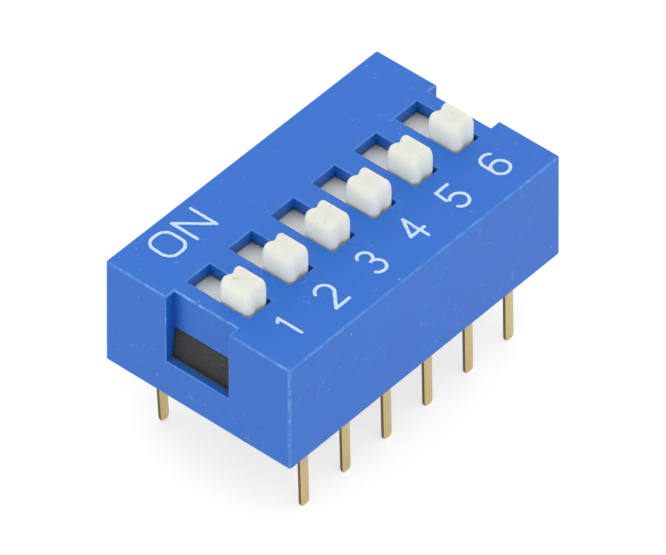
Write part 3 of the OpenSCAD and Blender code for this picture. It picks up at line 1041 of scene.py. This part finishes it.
# What the half length leaves over past the toe, which runs on as far as the sole lies on the
# floor. It comes to 0.035 mm, thinner than the CAD strip with its 0.12 mm.
spring_t = (spring_high.y - spring_low.y) / 2 - 2 * sole_half + instep
foot_z = spring_low.z + spring_t / 2
half_path = [
    (crest_half, spring_high.z - spring_t / 2),
    (instep, foot_z),
    (sole_half, foot_z),
    ((spring_high.y - spring_low.y - spring_t) / 2, foot_z + 2 * spring_t),
]
spring_path = [(-y, z) for y, z in reversed(half_path)] + half_path
print("spring strip", round(spring_t / MM, 3), "mm thick, feet", round(2 * sole_half / MM, 2), "mm apart")


# %% Six springs
spring_bend, spring_edge = 0.25 * MM, 0.02 * MM


def spring_at(i):
    x = switch_x[i]
    mesh = bpy.data.meshes.new(f"spring_strip_{i}")
    points = [(x, spring_middle.y + y, z) for y, z in spring_path]
    mesh.from_pydata(points, [(k, k + 1) for k in range(len(points) - 1)], [])
    return new_piece(f"spring_strip_{i}", mesh)


def sheared(face):
    """Strip is sheared along its length, so its sides are the faces that look along the row."""
    return 1.0 if abs(face.normal.x) > 0.8 else 0.0


for i in switches:
    spring = run(spring_at(i), strip, Width=spring_high.x - spring_low.x, Thickness=spring_t,
                 Bend=spring_bend, Finish=finishes["plated_spring"], **{"Sheared Edge": spring_edge})
    spring.data.set_sharp_from_angle(angle=radians(40))
    paint(spring, "sheared", sheared)
    finish(spring, "plated_spring", f"slider_{i}", f"contact_spring_{i}")

# %% [markdown]
# ## The terminals
#
# A terminal is stamped flat, wide where the spring runs on it and narrow at the pin, and then
# bent down. It could be a box for each stretch, but then the bend would be a mitre. Instead the
# strip is a loft of flat sections that ride along the bent middle line, and each section knows
# how wide the stamped blank is there. At the tip the sections shrink, as the punch leaves them.

# %% Section of a strip
strip_corner = 0.02 * MM


def strip_ring(x, u, z, turned, width, thickness, side):
    """A flat section with slightly round corners. u is the distance out from the middle of the switch,
    and turned is the direction in which its outer face looks: 0 outwards, a quarter turn up."""
    ring = []
    for start, (a, b) in enumerate(((1, 1), (-1, 1), (-1, -1), (1, -1))):
        for k in range(3):
            angle = pi / 2 * (start + k / 2)
            across = a * (width / 2 - strip_corner) + strip_corner * cos(angle)
            out = b * (thickness / 2 - strip_corner) + strip_corner * sin(angle)
            ring.append((x + across, side * (u + out * cos(turned)), z + out * sin(turned)))
    return ring


# %% Terminals of one side
bend, bend_steps, shoulder = 0.16 * MM, 6, 0.18 * MM
# The narrowing tip: heights over its end in mm, and the share of the full width there.
tip_shares = ((0.28, 1), (0.16, 0.97), (0.08, 0.9), (0.03, 0.78), (0.008, 0.6))
end_width_share, end_thickness_share = 0.45, 0.7
clear_of_base = -0.5 * MM


def terminal(part, name, side):
    """A terminal built over a CAD one. side is 1 for the far row and -1 for the near row."""
    low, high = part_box(part)
    x = (low.x + high.x) / 2
    outer = max(side * y for y in flats(part, 1, side))
    inner = sorted(side * y for y in flats(part, 1, -side))
    arm_end, thickness = inner[0], outer - inner[-1]
    pin_low, pin_high = reach(part, lambda point: point.z < clear_of_base)
    tip_low, tip_high = reach(part, lambda point: point.z < low.z + hair)
    pin_width, blank_width = pin_high.x - pin_low.x, high.x - low.x
    pin_u = outer - thickness / 2
    tip_u = side * (tip_low.y + tip_high.y) / 2
    arm_z = high.z - thickness / 2
    up = pi / 2
    stretches = [(arm_end, arm_z, up, blank_width),
                 (pin_u - bend - 2 * shoulder, arm_z, up, blank_width),
                 (pin_u - bend - shoulder, arm_z, up, pin_width)]
    for k in range(bend_steps + 1):
        turned = up * (1 - k / bend_steps)
        stretches.append((pin_u - bend + bend * cos(turned), arm_z - bend + bend * sin(turned),
                          turned, pin_width))
    lean = (tip_u - pin_u) / -low.z
    below = [(0.1 * MM, 1), (-0.1 * MM, 1)] + [(low.z + rise * MM, share) for rise, share in tip_shares]
    for z, share in below:
        stretches.append((pin_u + lean * max(-z, 0), z, lean, pin_width * share))
    rings = [strip_ring(x, u, z, turned, width, thickness, side) for u, z, turned, width in stretches]
    rings.append(strip_ring(x, tip_u, low.z, 0, pin_width * end_width_share,
                            thickness * end_thickness_share, side))
    piece = loft(name, rings)
    piece.data.set_sharp_from_angle(angle=sharp_from)
    paint(piece, "sheared", sheared)
    return piece


for row_name, side in (("near", -1), ("far", 1)):
    pins = terminal(f"terminal_{row_name}_1", f"{row_name}_terminals", side)
    run(pins, row, Count=switch_count, First=0.0, Step=pitch, Finish=finishes["plated_pin"])
    finish(pins, "plated_pin", "housing", *[f"terminal_{row_name}_{i}" for i in switches])

# %% [markdown]
# ## The legend
#
# Pad-printed ink is a thin raised film. A texture could draw it, but a film has a rim that
# catches light. The CAD letters are copied, their long edges are divided and nudged a little,
# because no printed line is perfectly straight, and each face gets an inner outline. Between the
# two outlines the film slopes down, and the mark "rim" falls from one to nothing.

# %% Legend
ink_rim, ink_wobble = 0.025 * MM, 0.016 * MM
shortest_step, longest_step = 0.014 * MM, 0.07 * MM
slow_wave, quick_wave, quick_share = 0.3 * MM, 0.1 * MM, 0.7


def printed(piece):
    """Gives flat raised letters uneven outlines and a soft rim."""
    with editing(piece.data) as shape:
        top = max(v.co.z for v in shape.verts)
        bmesh.ops.remove_doubles(shape, verts=shape.verts, dist=shortest_step)
        for _ in range(5):
            long = [edge for edge in shape.edges if edge.calc_length() > longest_step
                    and abs(edge.verts[0].co.z - edge.verts[1].co.z) < hair]
            bmesh.ops.subdivide_edges(shape, edges=long, cuts=1)
        for v in shape.verts:
            place = Vector((v.co.x, v.co.y, 0))
            push = noise_vector(place / slow_wave) + noise_vector(place / quick_wave) * quick_share
            v.co += Vector((push.x, push.y, 0)) * ink_wobble
        upper = [face for face in shape.faces if face.normal.z > 0.9]
        mark_rim = shape.verts.layers.float.new("rim")
        for v in shape.verts:
            v[mark_rim] = 1.0
        bmesh.ops.inset_region(shape, faces=upper, thickness=ink_rim, use_even_offset=False)
        inner = {v for face in upper for v in face.verts}
        for v in shape.verts:
            if v in inner:
                v[mark_rim] = 0.0
            elif v.co.z > top - hair:
                v.co.z -= (top - cover_top) / 3
    return piece


legend = printed(solid_copy("legend", "printed_legend"))
finish(legend, "white_ink", "housing", "legend")
